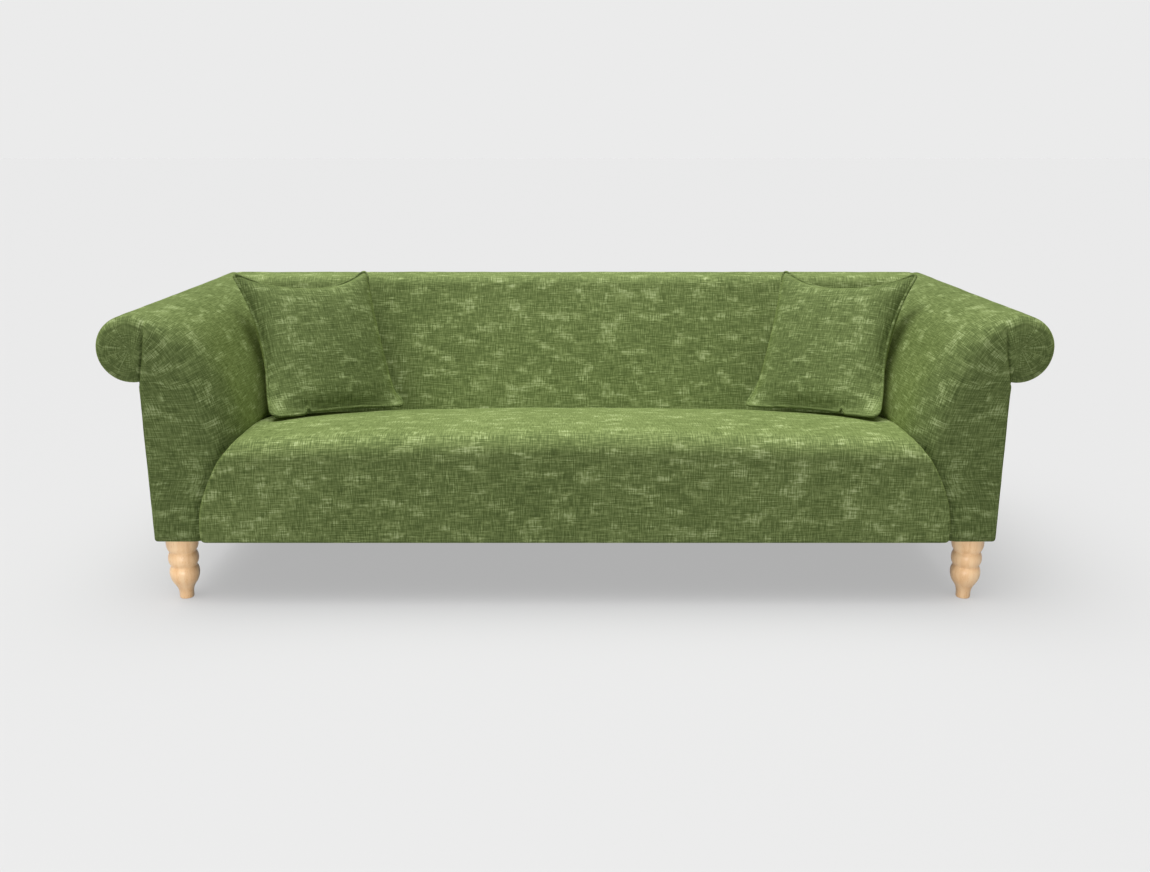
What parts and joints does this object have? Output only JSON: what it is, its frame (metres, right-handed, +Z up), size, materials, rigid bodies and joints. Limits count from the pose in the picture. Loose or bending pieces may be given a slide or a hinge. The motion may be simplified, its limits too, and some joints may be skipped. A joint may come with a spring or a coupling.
{
  "type": "four-seater sofa",
  "caption": "Roll-arm sofa with a one-piece bench seat, tight back, green velvet cover, loose scatter cushions in the corners and turned pale wood legs.",
  "frame": {"origin": "on the floor, under the middle of the sofa's box", "axes": "+X along the seat to the right as seen from the front, +Y from the front to the back, +Z up"},
  "size_m": [2.3, 1, 0.7838],
  "materials": {
    "frame_timber": "planed, unfinished",
    "frame_board": "sawn plywood",
    "liner_board": "plain fibreboard",
    "steel": "bright wire and zinc",
    "webbing": "woven",
    "felt": "needled",
    "foam": "cut, matt",
    "upholstery": "slubbed velvet, soft sheen",
    "lining": "thin non-woven",
    "filling": "plain cotton case",
    "leg_wood": "turned, clear satin lacquer"
  },
  "bodies": {
    "sofa": {"front_seat_rail": "frame_timber", "back_seat_rail": "frame_timber", "left_side_rail": "frame_timber", "right_side_rail": "frame_timber", "spring_rail": "frame_timber", "seat_stretchers": "frame_timber", "corner_blocks": "frame_timber", "left_arm_top_rail": "frame_timber", "right_arm_top_rail": "frame_timber", "left_arm_tack_rail": "frame_timber", "right_arm_tack_rail": "frame_timber", "left_corner_post": "frame_timber", "right_corner_post": "frame_timber", "back_top_rail": "frame_timber", "back_tack_rail": "frame_timber", "left_arm_front_board": "frame_board", "right_arm_front_board": "frame_board", "left_arm_rear_board": "frame_board", "right_arm_rear_board": "frame_board", "back_ribs": "frame_board", "left_arm_liner": "liner_board", "right_arm_liner": "liner_board", "arm_board_screws": "steel", "seat_springs": "steel", "spring_clips": "steel", "spring_tie_wires": "steel", "leg_bolts": "steel", "leg_inserts": "steel", "back_webbing": "webbing", "seat_insulator": "felt", "seat_foam": "foam", "back_foam": "foam", "left_arm_foam": "foam", "right_arm_foam": "foam", "seat_cover": "upholstery", "inside_back_cover": "upholstery", "outside_back_cover": "upholstery", "left_inside_arm_cover": "upholstery", "right_inside_arm_cover": "upholstery", "left_outside_arm_cover": "upholstery", "right_outside_arm_cover": "upholstery", "dust_cloth": "lining", "front_left_leg": "leg_wood", "front_right_leg": "leg_wood", "rear_left_leg": "leg_wood", "rear_right_leg": "leg_wood"},
    "left_cushion": {"left_cushion_front": "upholstery", "left_cushion_back": "upholstery", "left_cushion_piping": "upholstery", "left_cushion_pad": "filling"},
    "right_cushion": {"right_cushion_front": "upholstery", "right_cushion_back": "upholstery", "right_cushion_piping": "upholstery", "right_cushion_pad": "filling"}
  },
  "joints": [
    {"name": "left_cushion_lift", "type": "slide", "parent": "sofa", "child": "left_cushion", "axis": [0, 0, 1], "range_m": [0, 0.45]},
    {"name": "right_cushion_lift", "type": "slide", "parent": "sofa", "child": "right_cushion", "axis": [0, 0, 1], "range_m": [0, 0.45]}
  ]
}
